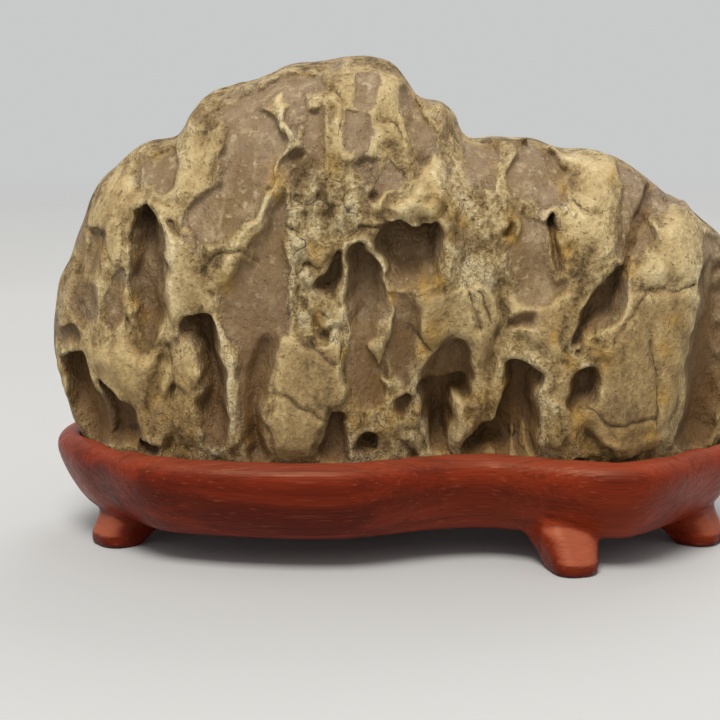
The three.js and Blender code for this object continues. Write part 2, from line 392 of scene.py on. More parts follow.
        # painted shade: in the creases and pits of rough crust, near the foot, and on bare stone the
        # more, the lower it lies
        low = ease((60 - self.z) / 18)
        self.shade += 0.25 * creases * rough + 0.4 * pits * rough + 0.48 * low
        self.shade += 0.48 * ease((100 - self.z) / 40) * ease((self.bare + 0.5) / 1.5)
        self.shade = np.clip(self.shade, 0, 1)
        # the ochre map is raised towards the bottom, so the stone is warmer and yellower low down
        wash = 0.5 * ease((88 - self.z) / 40) * ease(plane_cloud(12, 16, seed + 10) + 0.5)
        self.ochre = np.maximum(self.ochre, wash * (1 - 0.6 * self.calm))
        # painted shade: the crust is less pale low down
        self.pale -= 0.14 * ease((92 - self.z) / 35)


front = Side(11)

# name: loop, depth, painted shade
BROWNS = {
    "shoulder": ([
        (-88, 132), (-85, 135), (-79, 136), (-74, 137), (-71, 130), (-74, 123), (-80, 123),
        (-84, 126)], 1.5, 0),
    "great face": ([
        (-59, 134), (-57, 140), (-54, 146), (-49, 149), (-44, 150), (-39, 147), (-37, 140), (-38, 133),
        (-42, 127), (-44, 121), (-51, 113), (-56, 107), (-62, 106), (-68, 109), (-70, 117), (-68, 121),
        (-63, 123), (-59, 126)], 2.2, 0),
    "top": ([
        (-61, 148), (-57, 151), (-51, 154), (-43, 157), (-38, 160), (-33, 159), (-36, 155), (-43, 152),
        (-50, 150), (-57, 146)], 0.8, 0),
    "peak": ([
        (-32, 150), (-27, 150), (-26, 145), (-25, 138), (-26, 133), (-29, 131), (-32, 127), (-34, 125),
        (-37, 127), (-39, 131), (-39, 135), (-36, 137), (-33, 138), (-32, 142)], 2.0, 0),
    "valley": ([
        (-38, 126), (-36, 122), (-37, 109), (-36, 97), (-37, 85), (-40, 76), (-42, 63), (-45, 53),
        (-46, 42), (-53, 42), (-53, 51), (-54, 59), (-55, 72), (-58, 82), (-58, 91), (-53, 99),
        (-49, 105), (-45, 114), (-42, 121)], 2.4, 0.3),
    "crown high": ([
        (-16, 160), (-12, 162), (-8, 162), (-7, 156), (-9, 150), (-12, 148), (-16, 150),
        (-17, 155)], 1.2, 0),
    "crown low": ([
        (-18, 147), (-15, 148), (-10, 148), (-9, 143), (-11, 139), (-16, 137), (-19, 139)], 1.6, 0),
    "crown right": ([
        (-2, 155), (3, 156), (6, 151), (8, 145), (10, 136), (6, 131), (3, 135), (1, 143),
        (-1, 150)], 1.6, 0.1),
    "olive hollow": ([
        (-12, 122), (-10, 126), (-7, 129), (-5, 134), (-3, 134), (-1, 132), (2, 129), (1, 126), (-1, 124),
        (-5, 121), (-7, 119), (-10, 119)], 1.8, 0.15),
    "saddle": ([
        (21, 140), (25, 139), (30, 138), (30, 133), (28, 128), (25, 125), (22, 128),
        (20, 133)], 1.4, 0.1),
    "right top": ([
        (35, 139), (41, 139), (46, 138), (50, 135), (53, 131), (55, 128), (53, 125), (51, 121), (47, 119),
        (43, 120), (38, 121), (34, 122), (33, 129), (34, 135)], 1.3, 0),
    "lilac": ([
        (34, 118), (39, 116), (44, 115), (47, 116), (46, 110), (47, 104), (47, 99), (52, 98), (52, 94),
        (47, 92), (45, 88), (38, 88), (35, 95), (32, 103), (33, 108), (36, 112), (35, 115)], 2.0, 0),
    "right flank": ([
        (72, 133), (78, 130), (85, 123), (80, 120), (77, 114), (74, 108), (70, 102), (67, 104), (68, 109),
        (70, 115), (72, 121), (73, 126)], 1.6, 0.05),
    "high patch": ([(84, 121), (90, 119), (87, 116), (84, 116), (82, 119)], 1.2, 0.1),
    "end flank": ([
        (100, 109), (106, 107), (108, 103), (107, 92), (103, 92), (99, 98), (99, 104)], 1.2, 0),
    "middle": ([(-5, 92), (-1, 93), (3, 91), (5, 83), (4, 73), (2, 63), (-2, 66), (-6, 76)], 2.2, 0.35),
    "left olive": ([(-105, 110), (-101, 112), (-100, 103), (-103, 94), (-108, 94)], 1.2, 0.2),
    "low valley": ([
        (-17, 92), (-10, 92), (-8, 78), (-5, 70), (-6, 63), (-6, 57), (-9, 54), (-13, 55), (-16, 59),
        (-17, 63), (-20, 68), (-19, 80)], 2.6, 0.35),
    "end wedge": ([
        (78, 116), (82, 109), (79, 106), (75, 103), (72, 104), (74, 107), (76, 111)], 1.2, 0.1),
    "top right": ([
        (-37, 161), (-29, 161), (-24, 158), (-24, 153), (-28, 156), (-32, 155), (-31, 150), (-35, 143),
        (-38, 146), (-37, 149), (-40, 151), (-48, 147), (-55, 144), (-57, 148), (-49, 153),
        (-42, 157)], 0.9, 0),
}
# name: loop, height, wall, paleness
CREAMS = {
    "lip bulge": ([
        (-109, 78), (-105, 76), (-102, 72), (-98, 74), (-95, 78), (-92, 83), (-90, 77), (-86, 71),
        (-82, 70), (-77, 73), (-79, 65), (-81, 59), (-84, 54), (-88, 52), (-93, 56), (-99, 61),
        (-104, 66)], 3.6, 7, 0.6),
    "slab": ([
        (-42, 80), (-39, 81), (-35, 79), (-31, 76), (-28, 77), (-24, 81), (-21, 82), (-21, 75), (-20, 67),
        (-17, 61), (-18, 55), (-22, 54), (-25, 49), (-31, 39), (-39, 39), (-44, 50), (-46, 51), (-41, 60),
        (-40, 68)], 3.0, 2.0, 0.42),
    "lobe": ([
        (-73, 72), (-71, 74), (-68, 69), (-66, 64), (-69, 58), (-74, 59), (-79, 56), (-80, 62),
        (-77, 68)], 1.8, 3, 0.5),
    "left crown": ([
        (-107, 117), (-100, 124), (-92, 131), (-87, 124), (-80, 122), (-74, 121), (-70, 117), (-74, 114),
        (-83, 119), (-88, 116), (-95, 111), (-104, 111)], 0.9, 4, 0.62),
    "pillar": ([(-99, 114), (-92, 115), (-91, 107), (-93, 99), (-97, 98), (-99, 106)], 1.4, 2.5, 0.6),
    "face left": ([
        (-72, 140), (-65, 143), (-60, 144), (-58, 138), (-61, 131), (-63, 123), (-70, 122), (-73, 120),
        (-72, 128)], 1.0, 2.5, 0.55),
    "left band": ([
        (-77, 111), (-72, 110), (-68, 105), (-63, 99), (-59, 90), (-61, 86), (-66, 86), (-72, 84),
        (-75, 78), (-77, 89)], 0.8, 2.5, 0.55),
    "face ridge": ([
        (-42, 128), (-39, 129), (-39, 123), (-42, 115), (-48, 106), (-53, 99), (-58, 93), (-62, 95),
        (-58, 102), (-51, 112), (-45, 120)], 1.2, 2, 0.6),
    "crown": ([
        (-25, 151), (-22, 158), (-17, 162), (-10, 164), (-3, 162), (-1, 158), (0, 149), (2, 142),
        (4, 136), (-1, 137), (-5, 138), (-8, 135), (-13, 134), (-18, 134), (-23, 137),
        (-23, 145)], 0.9, 4, 0.62),
    "column": ([
        (5, 147), (9, 143), (12, 136), (15, 130), (17, 121), (17, 115), (13, 113), (10, 117), (5, 119),
        (-1, 120), (-4, 119), (-1, 123), (4, 127), (8, 132), (7, 140)], 1.4, 3, 0.75),
    "triangle": ([
        (4, 90), (9, 93), (15, 94), (21, 95), (26, 95), (32, 90), (32, 81), (29, 72), (24, 68), (21, 75),
        (17, 78), (10, 76), (4, 78), (3, 85)], 2.2, 3.0, 0.5),
    "nose": ([
        (34, 81), (35, 91), (43, 92), (50, 94), (55, 92), (52, 86), (51, 77), (54, 70), (49, 71),
        (44, 73), (40, 76)], 2.0, 4, 0.55),
    "right bulge": ([
        (52, 135), (56, 136), (63, 136), (67, 135), (71, 133), (73, 127), (71, 124), (71, 119), (68, 117),
        (67, 112), (67, 108), (63, 104), (59, 106), (55, 108), (53, 112), (52, 117), (55, 123), (56, 128),
        (54, 132)], 2.6, 7, 0.74),
    "end bulge": ([
        (87, 121), (93, 118), (97, 113), (99, 108), (97, 99), (93, 95), (86, 94), (81, 93), (76, 95),
        (73, 99), (80, 106), (83, 110), (79, 116), (84, 115), (90, 119)], 2.2, 6, 0.68),
    "end slab": ([
        (69, 92), (79, 93), (93, 92), (95, 82), (93, 68), (90, 56), (86, 48), (78, 38), (65, 43),
        (58, 50), (61, 59), (63, 71), (66, 81)], 2.0, 3.0, 0.37),
    "low right": ([
        (47, 69), (51, 71), (54, 64), (54, 57), (56, 49), (53, 41), (47, 41), (46, 50),
        (47, 59)], 1.4, 3, 0.5),
    "brow": ([
        (-4, 120), (0, 123), (3, 126), (4, 129), (7, 133), (9, 134), (13, 132), (15, 127), (16, 121),
        (14, 118), (11, 117), (5, 117), (-1, 117)], 2.6, 3.5, 0.66),
    "slab lip": ([
        (64, 51), (69, 47), (76, 45), (88, 46), (86, 40), (78, 39), (66, 38), (55, 39),
        (57, 45)], 1.6, 3, 0.42),
    "crumbs": ([
        (-29, 131), (-24, 129), (-19, 128), (-13, 119), (-7, 115), (-10, 112), (-18, 113), (-22, 109),
        (-28, 105), (-34, 106), (-37, 111), (-35, 118), (-34, 124)], 1.0, 5, 0.62),
}
# places of broken, crumbling crust
CRUSTS = [
    [(-36, 133), (-24, 134), (-18, 131), (-10, 125), (-9, 120), (-17, 111), (-23, 105), (-30, 91),
     (-24, 86), (-18, 83), (-22, 78), (-31, 80), (-37, 85), (-37, 97), (-36, 112), (-37, 123)],
    [(14, 131), (21, 124), (31, 122), (33, 109), (33, 93), (24, 95), (17, 94), (14, 100), (15, 112),
     (11, 120)],
    [(-76, 52), (-66, 50), (-57, 42), (-57, 38), (-83, 39), (-82, 47)],
    [(-9, 54), (-3, 59), (4, 58), (7, 50), (9, 38), (-7, 38), (-17, 40), (-17, 50)],
    [(43, 57), (51, 56), (58, 48), (77, 38), (64, 37), (44, 36)],
    [(54, 78), (63, 78), (67, 75), (63, 69), (57, 68), (52, 73)],
]
# name: loop, depth, wall, how much shallower the foot is, painted shade, lip
HOLLOWS = {
    "tall left": ([
        (-89, 115), (-85, 120), (-81, 118), (-78, 112), (-77, 104), (-77, 92), (-77, 82), (-79, 74),
        (-83, 70), (-86, 75), (-88, 82), (-90, 90), (-90, 98), (-89, 106)], 11, 5, 0.5, 0.6, 0.35),
    "left groove": ([
        (-105, 111), (-101, 113), (-100, 106), (-102, 99), (-104, 94), (-107, 95),
        (-107, 103)], 1.8, 4, 0.3, 0.2, 0.1),
    "olive trough": ([
        (-97, 93), (-94, 97), (-91, 98), (-90, 93), (-93, 84), (-96, 77), (-99, 80),
        (-99, 87)], 2.2, 5, 0.3, 0.15, 0.1),
    "side pit": ([
        (-116, 74), (-113, 77), (-109, 77), (-107, 72), (-110, 69), (-114, 68)], 1.8, 3, 0.3, 0.3, 0.3),
    "lower left": ([
        (-115, 67), (-108, 69), (-104, 64), (-101, 59), (-98, 50), (-98, 39), (-106, 38), (-110, 44),
        (-114, 56)], 9, 5, 0.5, 0.6, 0.45),
    "under bulge": ([
        (-100, 60), (-94, 57), (-90, 53), (-87, 48), (-84, 41), (-91, 39), (-98, 39),
        (-99, 46)], 9, 4, 0.2, 0.7, 0.45),
    "mid left": ([
        (-71, 83), (-66, 85), (-62, 85), (-60, 82), (-59, 74), (-57, 64), (-55, 50), (-56, 44), (-60, 42),
        (-65, 44), (-67, 50), (-67, 62), (-69, 71), (-72, 79)], 11, 5, 0.5, 0.6, 0.45),
    "black pit": ([(-86, 40), (-83, 42), (-80, 41), (-80, 37), (-85, 37)], 6, 2, 0, 0.9, 0.45),
    "slab left": ([
        (-49, 76), (-45, 79), (-41, 76), (-41, 67), (-44, 57), (-46, 50), (-43, 42), (-44, 37), (-52, 37),
        (-51, 46), (-52, 54), (-52, 66)], 3.0, 5, -0.9, 0.55, 0.0),
    "twin left": ([
        (-22, 102), (-19, 105), (-19, 93), (-22, 90), (-26, 90), (-28, 93),
        (-26, 97)], 9, 3.5, 0.4, 0.6, 0.3),
    "twin right": ([
        (-17, 107), (-13, 107), (-9, 104), (-5, 98), (-5, 91), (-8, 83), (-12, 81), (-17, 82), (-19, 86),
        (-18, 97)], 9, 5, 0.4, 0.55, 0.3),
    "great arch": ([
        (-9, 109), (-7, 114), (-4, 116), (2, 116), (7, 115), (11, 116), (13, 113), (14, 107), (14, 100),
        (13, 96), (7, 93), (2, 92), (-4, 95), (-7, 100), (-9, 104)], 13, 5, 0.45, 0.65, 0.45),
    "small dark": ([(-4, 58), (1, 59), (3, 56), (0, 50), (-3, 52)], 4, 2.5, 0.2, 0.6, 0.45),
    "base hole": ([(-15, 46), (-12, 47), (-9, 46), (-8, 41), (-12, 40), (-15, 42)], 8, 2.5, 0, 0.9, 0.45),
    "slab foot": ([
        (-24, 50), (-20, 54), (-16, 51), (-15, 42), (-16, 38), (-25, 38),
        (-26, 44)], 5, 3.5, 0, 0.6, 0.2),
    "arch left": ([
        (12, 77), (16, 78), (20, 77), (23, 69), (24, 61), (22, 55), (19, 48), (18, 37), (9, 38), (7, 46),
        (6, 55), (5, 60), (7, 66), (9, 72)], 5, 4.5, -0.5, 0.5, 0.2),
    "arch left deep": ([
        (5, 61), (11, 62), (21, 61), (21, 54), (16, 53), (16, 46), (16, 38), (10, 38), (7, 47),
        (6, 55)], 4.5, 3, -0.3, 0.85, 0.0),
    "arch right": ([
        (32, 65), (31, 60), (28, 51), (23, 45), (22, 37), (42, 38), (44, 47), (44, 58), (45, 66),
        (41, 69), (37, 71), (33, 69)], 9, 4.5, -0.2, 0.8, 0.3),
    "brow pit": ([(34, 84), (37, 86), (42, 87), (43, 83), (39, 80), (34, 80)], 2.6, 4, 0, 0.55, 0.0),
    "slanted slot": ([
        (65, 101), (59, 92), (57, 85), (54, 77), (55, 72), (58, 72), (59, 76), (63, 79), (68, 82),
        (70, 90), (71, 99), (68, 102)], 9, 5, 0.2, 0.6, 0.3),
    "oval pit": ([
        (57, 68), (61, 68), (63, 63), (61, 56), (57, 53), (54, 54), (53, 58),
        (54, 65)], 6, 4, 0.1, 0.6, 0.3),
    "crescent": ([
        (46, 117), (49, 117), (51, 114), (53, 111), (54, 109), (52, 108), (52, 102), (51, 99), (48, 99),
        (47, 104), (47, 109), (46, 113)], 5, 3, 0.2, 0.45, 0.3),
    "far groove": ([
        (97, 98), (103, 102), (108, 95), (110, 75), (108, 50), (106, 38), (90, 38), (92, 50), (93, 68),
        (95, 85)], 6, 7, -0.2, 0.6, 0.0),
    "yellow pocket": ([
        (31, 116), (34, 113), (35, 110), (35, 109), (31, 110), (31, 113)], 3, 2, 0, 0.3, 0.3),
    "ledge": ([(-38, 137), (-35, 138), (-31, 136), (-33, 133), (-37, 134)], 2, 2, 0, 0.35, 0.3),
    "crescent top": ([
        (46, 117), (49, 117), (51, 114), (52, 111), (50, 112), (48, 112),
        (46, 114)], 4, 2.5, 0.2, 0.8, 0),
}
# small lumps that stand in the hollows; name: loop, height, wall, paleness
TEETH = {
    "tooth": ([
        (15, 54), (17, 55), (20, 54), (22, 47), (21, 42), (20, 37), (16, 38), (16, 46)], 3.2, 2, 0.8),
    "pale stub": ([(6, 47), (8, 47), (10, 44), (10, 38), (8, 38)], 2.2, 1.6, 0.7),
    "grey stub": ([(1, 46), (4, 47), (6, 43), (5, 38), (2, 39)], 2.2, 1.8, 0.6),
    "left needle": ([(36, 45), (37, 46), (38, 41), (38, 38), (36, 37)], 2, 1.2, 0.6),
    "right needle": ([(39, 46), (41, 46), (42, 42), (42, 38), (40, 38)], 2, 1.4, 0.6),
    "brow": ([(-8, 65), (-5, 65), (-3, 64), (-3, 62), (-6, 62)], 1.6, 1.6, 0.8),
    "wedge": ([
        (-4, 93), (-3, 93), (-4, 86), (-5, 80), (-7, 74), (-8, 68), (-11, 73), (-12, 77), (-9, 80),
        (-6, 84)], 1.8, 2, 0.6),
    "amber stub": ([(3, 56), (6, 57), (7, 52), (5, 47), (3, 47)], 1.8, 2, 0.5),
    "amber lump": ([(59, 75), (62, 77), (66, 75), (66, 71), (62, 70), (59, 72)], 2.2, 2.5, 0.55),
    "amber sliver": ([(54, 51), (59, 52), (59, 47), (57, 43), (54, 42), (53, 46)], 1.4, 2.5, 0.5),
    "left stones": ([(48, 63), (51, 64), (51, 63), (48, 61)], 1.6, 1.4, 0.85),
}
# line, height, width
RIDGES = [
    ([(-70, 143), (-71, 137), (-73, 128), (-76, 123), (-82, 120)], 1.1, 2.6),
    ([(-37, 155), (-37, 149), (-36, 142), (-39, 136), (-41, 130)], 1.3, 1.2),
    ([(-41, 127), (-44, 119), (-50, 110), (-56, 100)], 0.9, 0.9),
    ([(31, 68), (28, 60), (24, 51), (20, 42)], 1.0, 1.3),
    ([(-60, 84), (-58, 76), (-56, 68), (-54, 60), (-55, 52), (-54, 43)], 1.8, 1.3),
    ([(-18, 108), (-18, 98), (-19, 91), (-21, 85)], 1.2, 0.9),
    ([(-17, 108), (-13, 108), (-9, 104), (-5, 99)], 1.0, 1.1),
    ([(-10, 119), (-5, 122), (1, 125), (7, 125), (13, 123), (16, 117), (18, 109), (16, 100)], 1.0, 1.8),
    ([(33, 138), (33, 134), (29, 124), (31, 120), (31, 113)], 1.1, 1.4),
    ([(-79, 119), (-75, 110), (-74, 99), (-75, 86), (-77, 74)], 0.9, 1.8),
]
FLANK_GROOVE = [(88, 124), (84, 122), (80, 119), (77, 115), (75, 110), (73, 106), (70, 101)]
SPLITS = [
    [(-41, 60), (-38, 60), (-32, 57), (-25, 53)],
    [(-29, 75), (-26, 71), (-23, 71), (-21, 78)],
    [(21, 92), (23, 86), (25, 79)],
    [(24, 92), (26, 87), (29, 82)],
    [(0, 80), (5, 78), (9, 76)],
    [(76, 93), (85, 92), (94, 93)],
    [(78, 92), (74, 87), (70, 82), (67, 76)],
    [(60, 55), (65, 52), (70, 50), (81, 50)],
    [(81, 76), (81, 66), (82, 58), (82, 49)],
    [(-63, 100), (-60, 103), (-55, 104), (-51, 104), (-48, 102)],
    [(-17, 111), (-13, 113), (-8, 113), (-3, 115)],
    [(-36, 113), (-33, 112), (-31, 108), (-34, 104)],
    [(-34, 123), (-31, 121), (-27, 123), (-24, 121)],
    [(-33, 98), (-30, 100), (-26, 100)],
    [(-23, 129), (-20, 127), (-21, 123), (-18, 119)],
    [(-23, 155), (-19, 150), (-20, 143)],
    [(-6, 146), (-2, 145), (-1, 140)],
    [(-76, 72), (-74, 65), (-76, 57)],
    [(55, 121), (60, 117), (64, 117)],
]
# x, z, radius
STAINS = [
    (-88, 85, 2.4), (-82, 137, 2), (-41, 125, 2.2), (-28, 84, 3), (-29, 106, 2.2), (-55, 96, 2.4),
    (-101, 104, 2), (-91, 89, 2), (-23, 132, 2.4), (-83, 79, 2), (-21, 74, 1.6), (33, 112, 3.2),
    (34, 110, 2.6), (50, 109, 3.4), (51, 105, 3.6), (53, 106, 2.6), (52, 124, 1.8), (13, 121, 3.6),
    (16, 118, 2.4), (72, 99, 2.4), (16, 112, 2), (69, 128, 2), (-23, 132, 3), (-41, 128, 3),
    (-41, 124, 2.6), (-25, 106, 2.6), (-27, 103, 2.4), (7, 93, 2.2), (14, 121, 2.4), (19, 115, 2),
    (12, 96, 2), (61, 74, 3.4), (64, 71, 3.4), (53, 70, 2.6), (57, 51, 3.2), (56, 46, 3.4), (10, 81, 3.6),
    (7, 75, 2.6), (4, 53, 3), (-4, 51, 3.4), (-7, 46, 2.6), (88, 83, 2.4), (86, 74, 2.6), (84, 59, 2.4),
    (49, 78, 2.2), (-3, 92, 2), (33, 61, 2.4), (81, 44, 3), (26, 56, 2),
]
PEBBLES = [
    (-88, 84, 2.2), (-30, 86, 1.8), (-26, 83, 1.6), (-24, 87, 1.4), (53, 110, 2.4), (54, 105, 2.0),
    (37, 43, 1.8), (40, 41, 1.8), (33, 41, 1.4), (2, 49, 1.8), (0, 44, 1.8), (-15, 50, 2.1),
    (-9, 47, 1.8), (60, 72, 1.8), (56, 75, 1.4), (-28, 77, 1.8), (22, 54, 1.8), (5, 53, 1.6),
]


def carve(side, creams, browns, crusts, hollows):
    for entry in creams.values():
        side.cream(*entry)
    for entry in browns.values():
        side.brown(*entry)
    for loop in crusts:
        side.crusted(loop)
    for entry in hollows.values():
        side.hollow(*entry)


carve(front, CREAMS, BROWNS, CRUSTS, HOLLOWS)
for entry in TEETH.values():
    front.tooth(*entry)
for ridge in RIDGES:
    front.ridge(*ridge)
front.groove(FLANK_GROOVE, 4, 1.6, 0.8)
for path in SPLITS:
    front.split(path)
for spot in STAINS:
    front.stain(*spot)
for dome in PEBBLES:
    front.pebble(*dome)
front.weather(31)

# the back is guessed: the same kinds of feature in other places
back = Side(61)
BACK_CREAMS = {
    "left band": ([
        (-74, 140), (-66, 146), (-64, 130), (-72, 112), (-70, 96), (-60, 88), (-60, 76), (-70, 80),
        (-78, 92), (-82, 110), (-80, 128)], 1.6, 3, 0.6),
    "bulge": ([(60, 134), (74, 130), (84, 116), (80, 100), (66, 98), (58, 110), (56, 124)], 3.4, 7, 0.8),
    "slab": ([(-26, 92), (-18, 94), (-14, 80), (-14, 62), (-20, 50), (-30, 54), (-30, 74)], 3, 2.4, 0.6),
    "spine": ([
        (-38, 158), (-28, 160), (-22, 146), (-18, 128), (-14, 112), (-20, 106), (-26, 120), (-30, 138),
        (-38, 148)], 1.8, 3, 0.7),
    "centre": ([
        (8, 120), (16, 124), (18, 104), (26, 94), (30, 80), (24, 72), (16, 84), (8, 100)], 2.2, 3, 0.7),
    "apron": ([
        (64, 92), (78, 94), (88, 84), (90, 64), (84, 48), (70, 44), (64, 58), (66, 76)], 2.6, 5, 0.6),
    "cheek": ([
        (-104, 96), (-94, 100), (-88, 86), (-88, 66), (-92, 50), (-102, 50), (-108, 66),
        (-108, 84)], 2.4, 6, 0.65),
    "foot": ([(10, 60), (24, 64), (36, 58), (40, 44), (24, 40), (10, 44)], 2, 4, 0.5),
    "neck": ([(44, 136), (54, 136), (56, 120), (52, 106), (46, 108), (46, 122)], 1.6, 3, 0.7),
}
BACK_BROWNS = {
    "face": ([
        (-62, 146), (-48, 150), (-40, 138), (-40, 122), (-46, 108), (-56, 100), (-66, 104), (-70, 118),
        (-68, 134)], 2.2, 0),
    "valley": ([
        (-30, 140), (-24, 132), (-26, 112), (-32, 92), (-36, 70), (-44, 58), (-50, 66), (-46, 86),
        (-40, 106), (-38, 124)], 2.6, 0.1),
    "crown": ([(-12, 160), (0, 155), (8, 142), (4, 128), (-6, 124), (-14, 132), (-16, 148)], 1.8, 0),
    "shelf": ([(20, 134), (34, 136), (42, 126), (38, 110), (28, 100), (18, 108), (16, 122)], 2, 0),
    "middle": ([(-8, 96), (4, 98), (10, 84), (6, 66), (-4, 58), (-12, 66), (-14, 82)], 2.2, 0.2),
    "right valley": ([(48, 92), (58, 90), (62, 74), (58, 54), (50, 44), (44, 54), (44, 74)], 2.4, 0.2),
    "end": ([(96, 110), (104, 104), (108, 88), (104, 70), (97, 66), (92, 80), (92, 98)], 1.8, 0),
    "low left": ([(-84, 70), (-74, 76), (-66, 68), (-64, 52), (-72, 44), (-82, 50)], 2, 0.2),
    "shoulder": ([(-100, 122), (-90, 128), (-82, 122), (-84, 110), (-94, 106), (-102, 112)], 1.6, 0),
}
BACK_CRUSTS = [
    [(-14, 122), (0, 120), (8, 108), (2, 98), (-10, 98), (-18, 108)],
    [(28, 98), (42, 96), (44, 80), (36, 66), (28, 74)],
    [(86, 120), (98, 116), (94, 102), (84, 102)],
    [(-62, 48), (-48, 50), (-40, 40), (-60, 38)],
]
BACK_HOLLOWS = {
    "tall": ([
        (-86, 116), (-80, 118), (-75, 108), (-74, 92), (-77, 78), (-84, 76), (-88, 90),
        (-89, 104)], 11, 5, 0.4, 0.6, 0.45),
    "left low": ([
        (-56, 82), (-50, 86), (-44, 78), (-42, 62), (-46, 48), (-54, 50),
        (-58, 66)], 9, 5, 0.4, 0.55, 0.4),
    "high": ([
        (-30, 128), (-23, 131), (-15, 124), (-12, 110), (-16, 98), (-24, 96), (-30, 106),
        (-33, 118)], 11, 5, 0.4, 0.6, 0.45),
    "twin": ([(-8, 92), (-2, 95), (4, 88), (5, 74), (0, 64), (-7, 66), (-10, 78)], 9, 4.5, 0.4, 0.6, 0.3),
    "arch": ([(6, 66), (14, 72), (24, 66), (28, 52), (26, 39), (8, 39), (4, 52)], 11, 4, 0.1, 0.75, 0.4),
    "right high": ([
        (42, 120), (50, 124), (57, 114), (58, 98), (52, 86), (44, 88),
        (40, 102)], 11, 4.5, 0.4, 0.6, 0.45),
    "slot": ([(62, 88), (70, 92), (74, 82), (68, 68), (60, 62), (58, 72)], 10, 4, 0.3, 0.7, 0.4),
    "right low": ([(80, 70), (88, 74), (94, 62), (92, 46), (84, 42), (78, 52)], 9, 4.5, 0.3, 0.6, 0.4),
    "foot left": ([(-30, 52), (-24, 56), (-16, 52), (-14, 40), (-22, 38), (-31, 40)], 8, 3, 0, 0.75, 0.2),
    "foot right": ([(44, 52), (52, 56), (60, 48), (58, 38), (44, 38)], 8, 3.5, 0, 0.75, 0.2),
    "end": ([
        (-108, 78), (-102, 82), (-98, 70), (-100, 56), (-106, 54), (-110, 66)], 4, 3.5, 0.2, 0.4, 0.3),
    "far foot": ([(-92, 56), (-86, 60), (-80, 52), (-80, 40), (-92, 40)], 7, 3.5, 0.1, 0.65, 0.3),
}
BACK_RIDGES = [
    [(-72, 140), (-70, 126), (-66, 108), (-68, 90), (-64, 72)],
    [(-36, 150), (-37, 134), (-34, 118), (-38, 102)],
    [(-6, 120), (0, 104), (8, 92), (12, 76)],
    [(30, 138), (42, 126), (38, 108), (30, 92), (32, 74)],
    [(62, 92), (64, 76), (60, 60), (62, 44)],
]
BACK_STAINS = [(-84, 84, 3), (-20, 100, 3), (12, 60, 3), (50, 90, 3), (-50, 58, 3), (30, 120, 4)]
BACK_SPLITS = [
    [(-60, 104), (-54, 96), (-52, 86), (-56, 76)],
    [(66, 96), (72, 84), (70, 70), (74, 56)],
    [(-104, 88), (-98, 80), (-96, 66), (-100, 56)],
    [(12, 118), (14, 104), (22, 92)],
]
carve(back, BACK_CREAMS, BACK_BROWNS, BACK_CRUSTS, BACK_HOLLOWS)
for path in BACK_RIDGES:
    back.ridge(path, 1.3, 1.6)
for spot in BACK_STAINS:
    back.stain(*spot)
for path in BACK_SPLITS:
    back.split(path)
back.weather(81)


def beneath(x, y, z, inset):
    """Distance to the plain mass, the shares of front, back and edge, and the z to read the relief at."""
    mass = bulk_distance(x, y, z, inset)
    inner = np.clip(-mass, 0, DEEPEST)
    front_share = ease((-(y - inner) - 3) / 12)
    back_share = ease(((y + inner) - 3) / 12)
    around = np.clip(1 - front_share - back_share, 0, 1)
    return mass, front_share, back_share, around, z - UNDERCUT * inner


# ---------------------------------------------------------------- meshes from volumes


def outer_shell(points, faces):
    """The largest connected surface alone, without voids sealed inside it."""
    shell = np.arange(len(points))
    while True:
        joined = shell.copy()
        np.minimum.at(joined, faces.ravel(), np.repeat(shell[faces].min(axis=1), faces.shape[1]))
        joined = joined[joined]
        if np.array_equal(joined, shell):
            break
        shell = joined
    kept = shell == np.bincount(shell).argmax()
    place_in_kept = np.cumsum(kept) - 1
    return points[kept], place_in_kept[faces[kept[faces[:, 0]]]]


def mesh_from_volume(name, volume, origin, step):
    """The zero surface of a distance volume as a smooth mesh in metres."""
    grid = openvdb.FloatGrid(4.0)
    grid.copyFromArray(np.ascontiguousarray(volume, dtype=np.float32))
    points, _, quads = grid.convertToPolygons(isovalue=0.0, adaptivity=0.0)
    points, quads = outer_shell(points, quads)
    points = points * step + np.array(origin)
    mesh = bpy.data.meshes.new(name)
    mesh.from_pydata((points * MM).tolist(), [], quads.tolist())
    made = bpy.data.objects.new(name, mesh)
    bpy.context.scene.collection.objects.link(made)
    share = MOST_TRIANGLES / (2 * len(quads))
    if share < 1:
        fewer = made.modifiers.new("fewer", "DECIMATE")
        fewer.ratio = share
        fewer.use_collapse_triangulate = True
        bpy.context.view_layer.update()
        reduced = made.evaluated_get(bpy.context.evaluated_depsgraph_get())
        lighter = bpy.data.meshes.new_from_object(reduced)
        made.modifiers.clear()
        made.data = lighter
        lighter.name = name
        bpy.data.meshes.remove(mesh)
    made.data.polygons.foreach_set("use_smooth", [True] * len(made.data.polygons))
    return made


def vertex_places(mesh):
    """A mesh's vertices in millimetres, one row each."""
    places = np.zeros(len(mesh.vertices) * 3)
    mesh.vertices.foreach_get("co", places)
    return places.reshape(-1, 3) / MM


def give(mesh, name, values):
    """A value at each vertex, for the material to read."""
    attribute = mesh.attributes.new(name, "FLOAT", "POINT")
    attribute.data.foreach_set("value", np.asarray(values, np.float32))


grid_x = MAP_X[:: round(VOXEL / MAP_STEP)]
grid_z = MAP_Z[:: round(VOXEL / MAP_STEP)]
grid_z = grid_z[grid_z > SEAT_Z - 4]
grid_y = np.arange(-54, 54, VOXEL)
flat_x, flat_z = np.meshgrid(grid_x, grid_z, indexing="ij")
flat_inset = sample(inset_map, flat_x, flat_z)
axes = (grid_x, grid_y, grid_z)
lumps = 0.8 * cloud(axes, (16, 16, 22), 5) + 0.35 * cloud(axes, (5, 5, 7), 6)
# towards the foot nothing stands out, so that the stone goes down into its recess
FOOT_Z, FOOT_RUN, FOOT_RELIEF = 44, 6, 0.1
